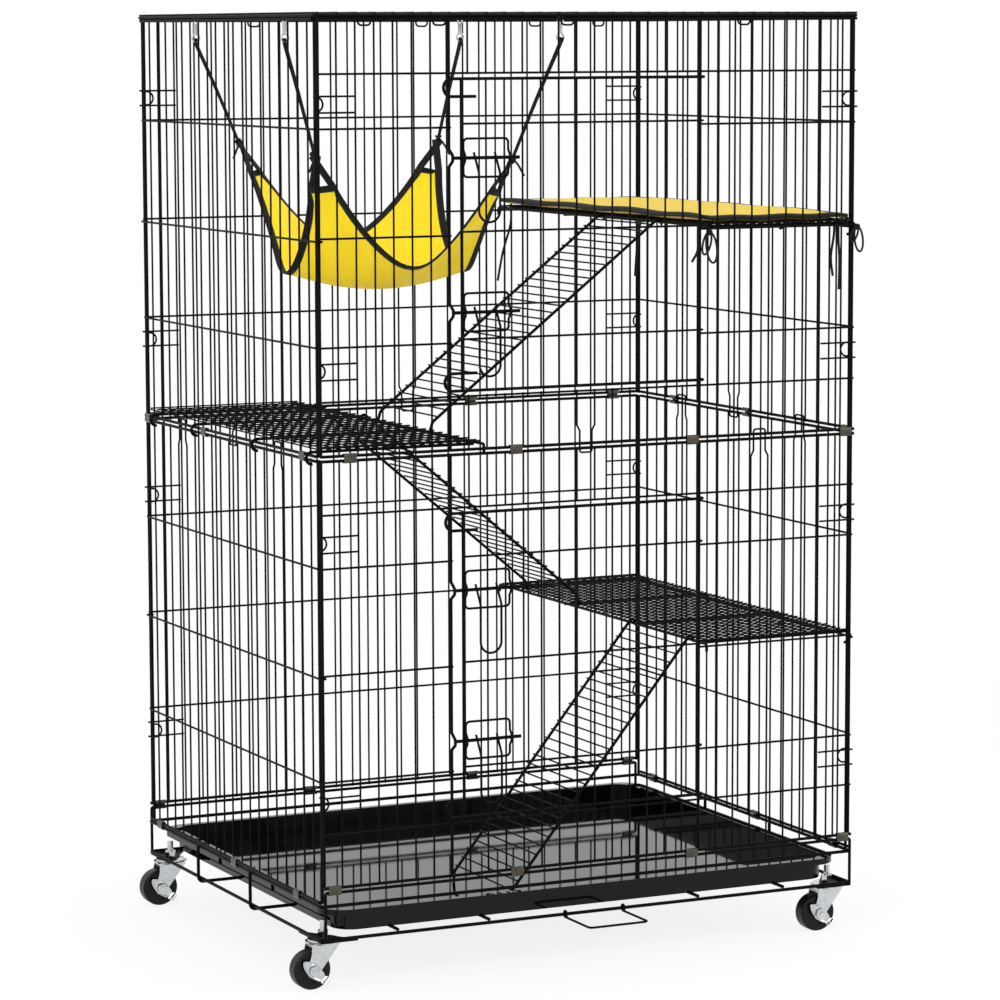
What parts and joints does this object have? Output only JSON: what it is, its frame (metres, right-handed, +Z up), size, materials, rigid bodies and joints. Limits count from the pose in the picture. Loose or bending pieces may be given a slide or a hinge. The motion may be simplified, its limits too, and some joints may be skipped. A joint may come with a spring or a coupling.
{
  "type": "cat cage",
  "caption": "Tall wire cat cage on locking castors, with hinged doors, slide bolts, hanging shelves, ramps, a slide-out tray, a shelf mat and a hammock.",
  "frame": {"origin": "on the floor under the middle of the cage", "axes": "+X to the right along the front, +Y to the back, +Z up"},
  "size_m": [0.8047, 0.6899, 1.2265],
  "materials": {
    "wire": "satin powder coat",
    "zinc": "zinc plated",
    "tray": "gloss",
    "tyre": "matte",
    "cloth": "woven cloth",
    "cord": "braided cord"
  },
  "bodies": {
    "cage": {"base_frame": "wire", "corner_plates": "wire", "front_lower_panel": "wire", "back_lower_panel": "wire", "left_lower_panel": "wire", "right_lower_panel": "wire", "front_upper_panel": "wire", "back_upper_panel": "wire", "left_upper_panel": "wire", "right_upper_panel": "wire", "top_panel": "wire", "bottom_clips": "zinc", "middle_clips": "zinc", "lower_shelf": "wire", "middle_shelf": "wire", "upper_shelf": "wire", "shelf_mat": "cloth", "mat_ties": "cord", "hammock": "cloth", "hammock_cords": "cord", "hammock_hooks": "zinc", "castor_stems": "zinc", "castor_nuts": "zinc"},
    "lower_door": {"lower_door": "wire"},
    "lower_door_high_latch": {"lower_door_high_latch": "wire"},
    "lower_door_low_latch": {"lower_door_low_latch": "wire"},
    "lower_ramp": {"lower_ramp": "wire"},
    "middle_ramp": {"middle_ramp": "wire"},
    "tray": {"tray": "tray"},
    "tray_gate": {"tray_gate": "wire"},
    "upper_door": {"upper_door": "wire"},
    "upper_door_high_latch": {"upper_door_high_latch": "wire"},
    "upper_door_low_latch": {"upper_door_low_latch": "wire"},
    "upper_ramp": {"upper_ramp": "wire"},
    "front_left_castor": {"front_left_fork": "zinc", "front_left_axle": "zinc"},
    "front_left_wheel": {"front_left_wheel": "tyre"},
    "front_left_brake": {"front_left_brake": "zinc"},
    "front_right_castor": {"front_right_fork": "zinc", "front_right_axle": "zinc"},
    "front_right_wheel": {"front_right_wheel": "tyre"},
    "front_right_brake": {"front_right_brake": "zinc"},
    "back_left_castor": {"back_left_fork": "zinc", "back_left_axle": "zinc"},
    "back_left_wheel": {"back_left_wheel": "tyre"},
    "back_left_brake": {"back_left_brake": "zinc"},
    "back_right_castor": {"back_right_fork": "zinc", "back_right_axle": "zinc"},
    "back_right_wheel": {"back_right_wheel": "tyre"},
    "back_right_brake": {"back_right_brake": "zinc"}
  },
  "joints": [
    {"name": "lower_door_hinge", "type": "hinge", "parent": "cage", "child": "lower_door", "pos_m": [0.1524, -0.30425, 0.40411], "axis": [0, 0, 1], "range_deg": [0, 95]},
    {"name": "upper_door_hinge", "type": "hinge", "parent": "cage", "child": "upper_door", "pos_m": [0.1524, -0.30425, 0.94811], "axis": [0, 0, 1], "range_deg": [0, 95]},
    {"name": "lower_door_low_latch_slide", "type": "slide", "parent": "lower_door", "child": "lower_door_low_latch", "axis": [1, 0, 0], "range_m": [-0.008, 0.013]},
    {"name": "lower_door_high_latch_slide", "type": "slide", "parent": "lower_door", "child": "lower_door_high_latch", "axis": [1, 0, 0], "range_m": [-0.008, 0.013]},
    {"name": "upper_door_low_latch_slide", "type": "slide", "parent": "upper_door", "child": "upper_door_low_latch", "axis": [1, 0, 0], "range_m": [-0.008, 0.013]},
    {"name": "upper_door_high_latch_slide", "type": "slide", "parent": "upper_door", "child": "upper_door_high_latch", "axis": [1, 0, 0], "range_m": [-0.008, 0.013]},
    {"name": "tray_slide", "type": "slide", "parent": "cage", "child": "tray", "axis": [0, -1, 0], "range_m": [0, 0.38]},
    {"name": "tray_gate_hinge", "type": "hinge", "parent": "cage", "child": "tray_gate", "pos_m": [0, -0.30375, 0.06791], "axis": [1, 0, 0], "range_deg": [-80, 0]},
    {"name": "lower_ramp_hinge", "type": "hinge", "parent": "cage", "child": "lower_ramp", "pos_m": [0.1604, -0.18415, 0.40781], "axis": [0, 1, 0], "range_deg": [0, 25]},
    {"name": "middle_ramp_hinge", "type": "hinge", "parent": "cage", "child": "middle_ramp", "pos_m": [-0.1604, 0.14605, 0.68547], "axis": [0, -1, 0], "range_deg": [0, 25]},
    {"name": "upper_ramp_hinge", "type": "hinge", "parent": "cage", "child": "upper_ramp", "pos_m": [0.1604, -0.09525, 0.95181], "axis": [0, 1, 0], "range_deg": [0, 15]},
    {"name": "front_left_swivel", "type": "hinge", "parent": "cage", "child": "front_left_castor", "pos_m": [-0.36801, -0.27005, 0.06], "axis": [0, 0, 1], "continuous": true},
    {"name": "front_left_roll", "type": "hinge", "parent": "front_left_castor", "child": "front_left_wheel", "pos_m": [-0.38651, -0.27005, 0.025], "axis": [0, 1, 0], "continuous": true},
    {"name": "front_left_brake_pivot", "type": "hinge", "parent": "front_left_castor", "child": "front_left_brake", "pos_m": [-0.38651, -0.27005, 0.025], "axis": [0, 1, 0], "range_deg": [0, 20]},
    {"name": "front_right_swivel", "type": "hinge", "parent": "cage", "child": "front_right_castor", "pos_m": [0.36801, -0.27005, 0.06], "axis": [0, 0, 1], "continuous": true},
    {"name": "front_right_roll", "type": "hinge", "parent": "front_right_castor", "child": "front_right_wheel", "pos_m": [0.34951, -0.27005, 0.025], "axis": [0, 1, 0], "continuous": true},
    {"name": "front_right_brake_pivot", "type": "hinge", "parent": "front_right_castor", "child": "front_right_brake", "pos_m": [0.34951, -0.27005, 0.025], "axis": [0, 1, 0], "range_deg": [0, 20]},
    {"name": "back_left_swivel", "type": "hinge", "parent": "cage", "child": "back_left_castor", "pos_m": [-0.36801, 0.27005, 0.06], "axis": [0, 0, 1], "continuous": true},
    {"name": "back_left_roll", "type": "hinge", "parent": "back_left_castor", "child": "back_left_wheel", "pos_m": [-0.38651, 0.27005, 0.025], "axis": [0, 1, 0], "continuous": true},
    {"name": "back_left_brake_pivot", "type": "hinge", "parent": "back_left_castor", "child": "back_left_brake", "pos_m": [-0.38651, 0.27005, 0.025], "axis": [0, 1, 0], "range_deg": [0, 20]},
    {"name": "back_right_swivel", "type": "hinge", "parent": "cage", "child": "back_right_castor", "pos_m": [0.36801, 0.27005, 0.06], "axis": [0, 0, 1], "continuous": true},
    {"name": "back_right_roll", "type": "hinge", "parent": "back_right_castor", "child": "back_right_wheel", "pos_m": [0.34951, 0.27005, 0.025], "axis": [0, 1, 0], "continuous": true},
    {"name": "back_right_brake_pivot", "type": "hinge", "parent": "back_right_castor", "child": "back_right_brake", "pos_m": [0.34951, 0.27005, 0.025], "axis": [0, 1, 0], "range_deg": [0, 20]}
  ]
}
